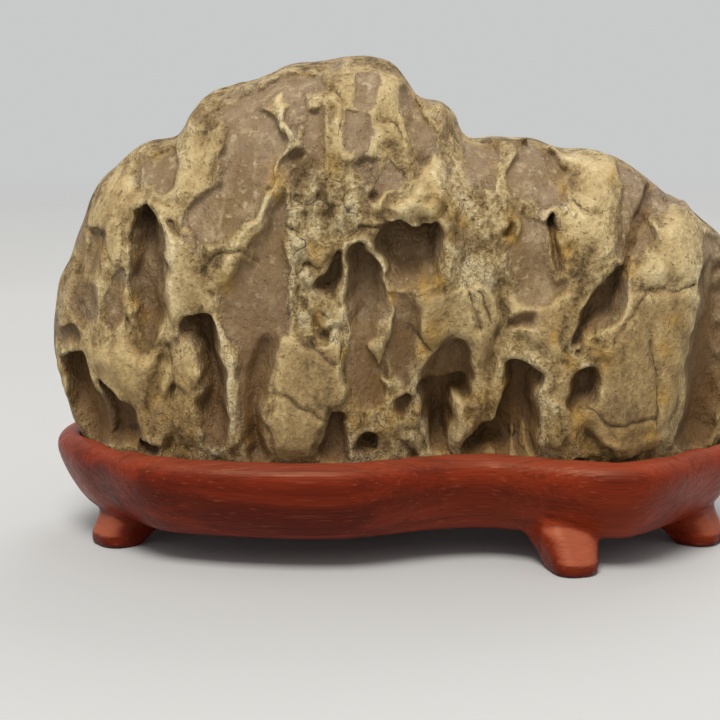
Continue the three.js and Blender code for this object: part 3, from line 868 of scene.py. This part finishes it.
# the most that anything stands out elsewhere
MOST_RELIEF = 5.5
volume = np.empty((len(grid_x), len(grid_y), len(grid_z)), np.float32)
for k, y in enumerate(grid_y):
    flat_y = np.full(flat_x.shape, y)
    mass, front_share, back_share, around, reach_z = beneath(flat_x, flat_y, flat_z, flat_inset)
    raised = front_share * sample(front.relief, flat_x, reach_z)
    raised = raised + back_share * sample(back.relief, flat_x, reach_z)
    raised = raised + lumps[:, k, :] * (0.25 + 0.5 * around) - 0.3
    low = ease((FOOT_Z - flat_z) / FOOT_RUN)
    raised = raised * (1 - low) + np.minimum(raised, FOOT_RELIEF) * low
    volume[:, k, :] = np.maximum(mass - np.minimum(raised, MOST_RELIEF), SEAT_Z - flat_z)
stone = mesh_from_volume("weathered_stone", volume, (grid_x[0], grid_y[0], grid_z[0]), VOXEL)

x, y, z = vertex_places(stone.data).T
_, front_share, back_share, around, reach_z = beneath(x, y, z, sample(inset_map, x, z))


def blended(attribute, elsewhere):
    """The two sides' maps at the stone's vertices, and another value round its edge."""
    values = front_share * sample(getattr(front, attribute), x, reach_z)
    values = values + back_share * sample(getattr(back, attribute), x, reach_z)
    return (values + around * elsewhere) / (front_share + back_share + around)


edge_mottle = sample(0.9 * plane_cloud(10, 14, 91) + 0.8 * plane_cloud(4, 5, 92), y * 1.3, z)
for attribute, elsewhere, low, high in (
    ("bare", edge_mottle - 1.2, -4, 4), ("calm", 0.3, 0, 1), ("pale", 0.5, 0, 1),
    ("ochre", 0, 0, 1), ("shade", 0, 0, 1), ("cavity", 0, -3, 3),
):
    give(stone.data, attribute, np.clip(blended(attribute, elsewhere), low, high))
before = front_share > back_share
give(stone.data, "crack", np.where(before, sample(front.crack, x, z), sample(back.crack, x, z)))
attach(stone, "root")
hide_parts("stone")

# ---------------------------------------------------------------- the stand

# the crest of the rim seen from above: x, y
RIM_CREST = [
    (116.1, 5), (111, 20), (98, 33), (76, 42), (46, 47), (12, 44.5), (-18, 45), (-50, 47.6), (-82, 43),
    (-101, 33), (-113, 20), (-116.1, 5), (-109, -10), (-99, -21), (-83, -37), (-66, -43), (-50, -46),
    (-34, -47.5), (-18, -47), (-5, -43), (6, -38.5), (18, -35.5), (30, -35), (41, -38.5), (54, -43.5),
    (69, -46.5), (81, -42.5), (98, -26), (111, -12),
]
# height of the stand's underside between its feet
SKIRT_Z = 10
# outset from the crest of the rim, height
STAND_SECTION = [
    (-4, RIM_Z - 1), (-0.8, RIM_Z), (2.6, RIM_Z - 1.1), (4.8, RIM_Z - 3.4), (5.4, RIM_Z - 6.4),
    (4.6, RIM_Z - 10), (2.6, RIM_Z - 15), (0.1, RIM_Z - 19.8), (-2.7, RIM_Z - 24), (-6, RIM_Z - 27.2),
    (-12, SKIRT_Z),
]
# how far inwards the body runs, past the middle, so that the recess can be cut from solid wood
BODY_REACH = 90
SECTION_STEP = 0.4
SEAT_GAP = 0.6
# place of the toe, the way it points in degrees, half its width
FEET = [
    (-102, -12.5, -140, 8.5), (57, -46, -76, 7.2), (108, -11, -40, 8.5), (97, 30, 40, 8),
    (-6, 44.5, 92, 6.5), (-96, 33, 140, 8),
]
# height, how far the foot reaches forwards and backwards, extra half width at its front and at its back
FOOT_SECTIONS = [
    (0, 3, -8, -0.8, 0.4), (1.2, 3.9, -9, 0, 1), (4, 3.8, -12, 0.2, 1.8), (5.4, 2.9, -13.5, 0.2, 2.4),
    (9, 0.5, -16, 0.9, 4.2), (12.5, -1.7, -20, 1.6, 6), (16.5, -5, -24, 2, 6),
]
FOOT_TOP = 16.5
# radius of the toe's corners as a share of its half width
TOE_ROUND = 0.8
SOLE_ROUND = 0.7
FOOT_FILLET = 2.0
STAND_VOXEL = 0.8

crest = smooth_path(RIM_CREST, True, 12)
wood_x = np.arange(-127, 127.5, STAND_VOXEL)
wood_y = np.arange(-61, 61.5, STAND_VOXEL)
wood_z = np.arange(-2, 42, STAND_VOXEL)
plan_x, plan_y = np.meshgrid(wood_x, wood_y, indexing="ij")
outset = -loop_inset(plan_x, plan_y, crest)

section = smooth_path(STAND_SECTION, False, 6)
section = np.concatenate([section, [(-BODY_REACH, SKIRT_Z), (-BODY_REACH, RIM_Z - 1)]])
section_out, section_up = np.arange(-92, 16, SECTION_STEP), np.arange(-4, 46, SECTION_STEP)
table_out, table_up = np.meshgrid(section_out, section_up, indexing="ij")
section_table = -loop_inset(table_out, table_up, section)


def section_distance(out, height):
    """Distance to the moulded body at an outset from its crest."""
    up = np.full(out.shape, (height - section_up[0]) / SECTION_STEP)
    return between_cells(section_table, (out - section_out[0]) / SECTION_STEP, up)


def corner(a, b, radius):
    """The harder of two distances, with the edge between the two faces rounded."""
    outside = np.hypot(np.maximum(a + radius, 0), np.maximum(b + radius, 0))
    return outside + np.minimum(np.maximum(a, b) + radius, 0) - radius


def foot_distance(toe_x, toe_y, heading, toe, height):
    """Distance to a foot: a tongue that draws back and broadens as it rises into the body."""
    rows = np.array(FOOT_SECTIONS, float).T
    reach, heel, fore, aft = (np.interp(height, rows[0], row) for row in rows[1:])
    turn = math.radians(heading)
    away_x, away_y = plan_x - toe_x, plan_y - toe_y
    out = away_x * math.cos(turn) + away_y * math.sin(turn)
    across = np.abs(away_y * math.cos(turn) - away_x * math.sin(turn))
    ahead = np.clip((out - heel) / (reach - heel), 0, 1)
    side = corner(across - toe - aft - (fore - aft) * ahead, out - reach, TOE_ROUND * toe)
    side = np.maximum(side, heel - out)
    return np.maximum(corner(side, np.full(side.shape, -height), SOLE_ROUND), height - FOOT_TOP)


def merged(a, b, fillet):
    """Union with a rounded inside corner."""
    share = np.clip(0.5 + 0.5 * (b - a) / fillet, 0, 1)
    return b * (1 - share) + a * share - fillet * share * (1 - share)


wood = np.empty((len(wood_x), len(wood_y), len(wood_z)), np.float32)
for k, height in enumerate(wood_z):
    feet = np.minimum.reduce([foot_distance(*foot, height) for foot in FEET])
    body = np.maximum(merged(section_distance(outset, height), feet, FOOT_FILLET), -height)
    stone_z = np.full(plan_x.shape, max(height, SEAT_Z))
    mass = bulk_distance(plan_x, plan_y, stone_z, sample(inset_map, plan_x, stone_z))
    recess = np.maximum(mass, SEAT_Z - height) - SEAT_GAP
    wood[:, :, k] = np.maximum(body, -recess)
stand = mesh_from_volume("rosewood_stand", wood, (wood_x[0], wood_y[0], wood_z[0]), STAND_VOXEL)
# painted light: the rim and the upward faces of the feet are painted paler, where the light falls on them
wood_up = vertex_places(stand.data)[:, 2]
normals = np.empty(3 * len(wood_up), np.float32)
stand.data.vertex_normals.foreach_get("vector", normals)
foot_tops = ease((normals[2::3] - 0.15) / 0.35) * ease((16 - wood_up) / 2)
give(stand.data, "painted_light", np.maximum(0.42 * ease((wood_up - 32) / 6), foot_tops))
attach(stand, "root")
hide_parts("stand")

# ---------------------------------------------------------------- materials


class Nodes:
    """Short calls for building a node tree."""

    def __init__(self, name):
        self.material = bpy.data.materials.new(name)
        self.material.use_nodes = True
        self.tree = self.material.node_tree
        self.tree.nodes.clear()
        self.place = self.add("ShaderNodeTexCoord").outputs["Object"]

    def add(self, kind, inputs=None, **settings):
        node = self.tree.nodes.new(kind)
        for key, value in settings.items():
            setattr(node, key, value)
        for key, value in (inputs or {}).items():
            self.plug(node.inputs[key], value)
        return node

    def plug(self, socket, value):
        if isinstance(value, bpy.types.NodeSocket):
            self.tree.links.new(value, socket)
        else:
            socket.default_value = value

    def noise(self, size, detail=2.0, stretch=(1, 1, 1), roughness=0.5, seed=0.0):
        """Noise about zero, its spread about a half, whose lumps are about size millimetres."""
        mapping = {"Vector": self.place, "Scale": stretch, "Location": (seed, seed, seed)}
        moved = self.add("ShaderNodeMapping", mapping)
        inputs = {"Vector": moved.outputs["Vector"], "Scale": 1 / (size * MM * 1.6), "Detail": detail}
        inputs["Roughness"] = roughness
        return self.spread(self.add("ShaderNodeTexNoise", inputs).outputs["Fac"])

    def spread(self, noise):
        """A noise node's value, moved to lie about zero with a spread of about a half."""
        return self.scaled(noise, 7.0, -3.5)

    def math(self, operation, a, b=0.0, c=0.0, clamp=False):
        node = self.add("ShaderNodeMath", {0: a, 1: b, 2: c}, operation=operation, use_clamp=clamp)
        return node.outputs[0]

    def times(self, a, b, clamp=False):
        return self.math("MULTIPLY", a, b, clamp=clamp)

    def scaled(self, a, factor, added):
        """a times factor, plus added."""
        return self.math("MULTIPLY_ADD", a, factor, added)

    def weighted(self, *terms):
        """The sum of some values, each times its weight."""
        (value, weight), *rest = terms
        return self.scaled(value, weight, self.weighted(*rest)) if rest else self.times(value, weight)

    def step(self, value, low, high):
        """0 below low, 1 above high, eased between."""
        inputs = {"Value": value, "From Min": low, "From Max": high, "To Min": 0.0, "To Max": 1.0}
        return self.add("ShaderNodeMapRange", inputs, interpolation_type="SMOOTHSTEP").outputs["Result"]

    def mix(self, share, a, b, blend="MIX"):
        node = self.add("ShaderNodeMix", data_type="RGBA", blend_type=blend)
        self.plug(node.inputs[0], share)
        self.plug(node.inputs[6], a)
        self.plug(node.inputs[7], b)
        return node.outputs[2]

    def attribute(self, name):
        """A value given at each vertex."""
        node = self.add("ShaderNodeAttribute", attribute_name=name, attribute_type="GEOMETRY")
        return node.outputs["Fac"]

    def bump(self, height, distance, strength):
        inputs = {"Height": height, "Distance": distance * MM, "Strength": strength}
        return self.add("ShaderNodeBump", inputs).outputs["Normal"]

    def finish(self, **inputs):
        sockets = {key.replace("_", " "): value for key, value in inputs.items()}
        shader = self.add("ShaderNodeBsdfPrincipled", sockets)
        out = self.add("ShaderNodeOutputMaterial")
        self.tree.links.new(shader.outputs["BSDF"], out.inputs["Surface"])
        return self.material


CRUST_OLIVE = (0.105, 0.064, 0.02, 1)
CRUST_TAN = (0.30, 0.198, 0.08, 1)
CRUST_CREAM = (0.50, 0.375, 0.178, 1)
CRUST_PALEST = (0.68, 0.55, 0.32, 1)
CRUST_FILM = (0.235, 0.152, 0.068, 1)
CRUST_DOTS = (0.13, 0.08, 0.03, 1)
BARE_BROWN = (0.185, 0.115, 0.046, 1)
BARE_GREY = (0.24, 0.16, 0.084, 1)
BARE_TAN = (0.38, 0.285, 0.16, 1)
BARE_DARK = (0.12, 0.072, 0.034, 1)
BARE_FLECKS = (0.46, 0.365, 0.225, 1)
RUST = (0.40, 0.225, 0.038, 1)
HOLLOW_SHADE = (0.12, 0.054, 0.011, 1)
CREVICE_SHADE = (0.07, 0.04, 0.016, 1)
CRACK = (0.06, 0.04, 0.018, 1)


def stone_material():
    n = Nodes("river_stone")
    bare, pale, cavity = n.attribute("bare"), n.attribute("pale"), n.attribute("cavity")
    calm, ochre, shade = n.attribute("calm"), n.attribute("ochre"), n.attribute("shade")
    crack = n.attribute("crack")
    rough = n.math("SUBTRACT", 1.1, calm)
    broad = n.noise(9, 3, (1, 1, 0.6), seed=1.3)
    middle = n.noise(2.8, 5, (1, 1, 0.55), 0.6, seed=3.1)
    fine = n.noise(0.8, 4, (1, 1, 0.7), 0.6, seed=5.7)
    veins = n.noise(4.2, 5, (1, 1, 0.5), 0.55, seed=8.3)
    crinkle = n.math("SUBTRACT", 0.35, n.math("ABSOLUTE", veins))

    # where the bare stone shows, with a ragged edge
    ragged = n.weighted((middle, 1.3), (broad, 1.0), (fine, 0.5))
    shown = n.step(n.math("ADD", bare, ragged), -0.8, 0.8)

    # wandering hair cracks of the rough crust
    hair = n.noise(6.5, 4, (1, 1, 0.6), 0.6, seed=12.1)
    flakes = n.math("SUBTRACT", 1.0, n.step(n.math("ABSOLUTE", hair), 0.0, 0.09))
    flakes = n.times(n.times(flakes, rough, clamp=True), n.step(broad, -0.2, 0.6))

    # crust: olive-brown, tan, then cream on the pale and smooth places; its tone also rises on the
    # relief's high places and falls in low ones, painted light and painted shade
    tone = n.weighted((crinkle, 0.18), (broad, 0.34), (middle, 0.4), (fine, 0.26))
    tone = n.times(tone, n.scaled(rough, 0.85, 0.16))
    tone = n.math("ADD", tone, n.scaled(cavity, 0.16, pale))
    crust = n.mix(n.step(tone, -0.1, 0.42), CRUST_OLIVE, CRUST_TAN)
    crust = n.mix(n.step(tone, 0.32, 0.8), crust, CRUST_CREAM)
    crust = n.mix(n.step(tone, 0.72, 1.15), crust, CRUST_PALEST)
    film = n.noise(3.6, 5, (1, 1, 0.6), 0.62, seed=21.4)
    veil = n.times(n.step(film, 0.1, 1.0), n.scaled(rough, 0.5, 0.1))
    crust = n.mix(veil, crust, CRUST_FILM)
    dots = n.times(n.step(n.noise(1.3, 2, seed=17.2), 0.95, 1.4), 0.6)
    crust = n.mix(dots, crust, CRUST_DOTS)

    # bare stone: brown-grey, with tan films and white flecks
    brown = n.mix(n.step(broad, -0.7, 0.7), BARE_BROWN, BARE_GREY)
    brown = n.mix(n.times(n.step(middle, 0.1, 1.1), 0.6), brown, BARE_TAN)
    brown = n.mix(n.times(n.step(middle, -0.2, -1.2), 0.45), brown, BARE_DARK)
    flecks = n.times(n.step(n.noise(1.6, 3, seed=7.9), 0.45, 1.2), n.step(film, -0.7, 0.5))
    brown = n.mix(n.times(flecks, 0.6), brown, BARE_FLECKS)

    colour = n.mix(shown, crust, brown)
    rust = n.times(ochre, n.step(middle, -1.4, 0.5))
    colour = n.mix(rust, colour, RUST)
    # painted shade from the shade map: hollows, bare places, grooves, creases, pits and the lower stone
    colour = n.mix(n.times(shade, 0.85), colour, HOLLOW_SHADE)
    # painted shade: darker in crevices, where the relief lies below its surroundings
    crevice_shade = n.times(n.step(n.times(cavity, -1.0), 0.4, 2.4), 0.45)
    colour = n.mix(crevice_shade, colour, CREVICE_SHADE)
    apart = n.math("ABSOLUTE", n.scaled(fine, 0.25, crack))
    thin = n.math("SUBTRACT", 1.0, n.step(apart, 0.1, 0.5))
    thin = n.times(thin, n.step(middle, -0.9, 0.2))
    dark = n.math("MAXIMUM", thin, n.times(flakes, 0.7))
    colour = n.mix(n.times(dark, 0.8), colour, CRACK)

    roughness = n.scaled(shown, -0.18, n.scaled(fine, 0.06, 0.68))
    height = n.weighted((crinkle, 0.7), (middle, 0.45), (fine, 0.42))
    height = n.times(height, n.scaled(rough, 0.85, 0.14))
    height = n.scaled(flakes, -0.5, n.scaled(dots, -0.4, height))
    normal = n.bump(n.scaled(shown, -0.35, height), 1.0, 1.0)
    return n.finish(Base_Color=colour, Roughness=roughness, Normal=normal, Specular_IOR_Level=0.35)


WOOD_DARK = (0.092, 0.008, 0.003, 1)
WOOD_RED = (0.185, 0.018, 0.005, 1)
WOOD_WARM = (0.26, 0.034, 0.010, 1)
WOOD_PAINTED_LIGHT = (0.37, 0.10, 0.05, 1)
WOOD_GRAIN = (0.045, 0.005, 0.003, 1)
WOOD_PORES = (0.05, 0.006, 0.003, 1)
WOOD_THREADS = (0.36, 0.10, 0.05, 1)
WAX_SHEEN = (1.0, 0.7, 0.45, 1)


def wood_material():
    n = Nodes("rosewood")
    flow = n.add("ShaderNodeMapping", {"Vector": n.place, "Scale": (0.035, 1, 1)}).outputs["Vector"]
    painted_light = n.attribute("painted_light")
    wander = n.noise(26, 2, (0.25, 1, 1), seed=2.0)

    def lines(count, detail, twist=0.0):
        """Streaks along the wood, about zero, that many to a metre."""
        inputs = {"Vector": flow, "Scale": count, "Detail": detail, "Distortion": twist}
        return n.spread(n.add("ShaderNodeTexNoise", inputs).outputs["Fac"])

    bands, grain, thread = lines(110.0, 3.0, 0.3), lines(420.0, 3.0), lines(1300.0, 2.0)
    colour = n.mix(n.step(bands, -1.0, 1.0), WOOD_DARK, WOOD_RED)
    colour = n.mix(n.times(n.step(wander, -0.2, 1.2), 0.4), colour, WOOD_WARM)
    # painted light on the rim and the feet's upper faces, where the grain is painted fainter too
    colour = n.mix(n.times(painted_light, 0.7), colour, WOOD_PAINTED_LIGHT)
    faint = n.scaled(painted_light, -0.22, 0.36)
    colour = n.mix(n.times(n.step(grain, 0.1, 1.4), faint), colour, WOOD_GRAIN)
    colour = n.mix(n.times(n.step(thread, 0.2, 1.4), faint), colour, WOOD_PORES)
    colour = n.mix(n.times(n.step(thread, -0.8, -1.5), 0.28), colour, WOOD_THREADS)
    roughness = n.scaled(grain, 0.06, 0.36)
    relief = n.math("ADD", n.times(grain, -0.5), n.times(thread, -0.4))
    normal = n.bump(relief, 0.1, 0.6)
    return n.finish(
        Base_Color=colour, Roughness=roughness, Normal=normal,
        Specular_IOR_Level=0.16, Specular_Tint=WAX_SHEEN,
    )


def floor_material(radius):
    """Pale, and fading out with distance so that it meets the studio without an edge."""
    n = Nodes("pale_floor")
    darker, lighter = (0.46, 0.46, 0.455, 1), (0.48, 0.48, 0.475, 1)
    tint = n.mix(n.step(n.noise(300, 1), -1.2, 1.2), darker, lighter)
    away = n.add("ShaderNodeVectorMath", {0: n.place}, operation="LENGTH").outputs["Value"]
    fade = n.step(away, radius * 0.25, radius * 0.95)
    shown = n.math("SUBTRACT", 1.0, fade)
    return n.finish(Base_Color=tint, Roughness=0.75, Alpha=shown, Specular_IOR_Level=0.2)


stone.data.materials.clear()
stone.data.materials.append(stone_material())
stand.data.materials.clear()
stand.data.materials.append(wood_material())

# ---------------------------------------------------------------- floor, lights, camera

# from here on lengths are metres
FLOOR_RADIUS = 2.4
floor_mesh = bpy.data.meshes.new("floor")
turns = [2 * math.pi * k / 64 for k in range(64)]
edge = [(FLOOR_RADIUS * math.cos(a), FLOOR_RADIUS * math.sin(a), 0) for a in turns]
floor_mesh.from_pydata(edge, [], [range(64)])
floor = bpy.data.objects.new("floor", floor_mesh)
floor.data.materials.append(floor_material(FLOOR_RADIUS))
bpy.context.scene.collection.objects.link(floor)

scene = bpy.context.scene
scene.view_settings.view_transform = "Standard"
world = bpy.data.worlds.new("studio")
world.use_nodes = True
background = world.node_tree.nodes["Background"]
background.inputs["Color"].default_value = (0.58, 0.585, 0.585, 1)
background.inputs["Strength"].default_value = 1.0
scene.world = world
LIT_PLACE = np.array((0, 0, 0.08))


def area_light(name, place, size, power, colour):
    """A soft rectangular light that looks at the stone."""
    light = bpy.data.lights.new(name, "AREA")
    light.shape = "RECTANGLE"
    light.size, light.size_y = size
    light.energy = power
    light.color = colour
    lamp = bpy.data.objects.new(name, light)
    away = np.array(place) - LIT_PLACE
    lamp.location = place
    flat = math.hypot(away[0], away[1])
    lamp.rotation_euler = (math.atan2(flat, away[2]), 0, math.atan2(away[1], away[0]) + math.pi / 2)
    scene.collection.objects.link(lamp)


area_light("overhead", (-0.36, -1.5, 2.85), (1.35, 1.05), 99, (1, 0.975, 0.93))
area_light("behind", (0.9, 1.8, 2.4), (2, 1.5), 26, (1, 0.985, 0.96))

# the photograph looks down a little, and its frame cuts the right end off
CAMERA_PLACE = (-0.014, -0.515, 0.159)
CAMERA_DIP = 10.57
camera_data = bpy.data.cameras.new("camera")
camera_data.sensor_width = 36
camera_data.lens = 75
camera = bpy.data.objects.new("camera", camera_data)
camera.location = CAMERA_PLACE
camera.rotation_euler = (math.radians(90 - CAMERA_DIP), 0, 0)
scene.collection.objects.link(camera)
scene.camera = camera

bpy.context.view_layer.update()
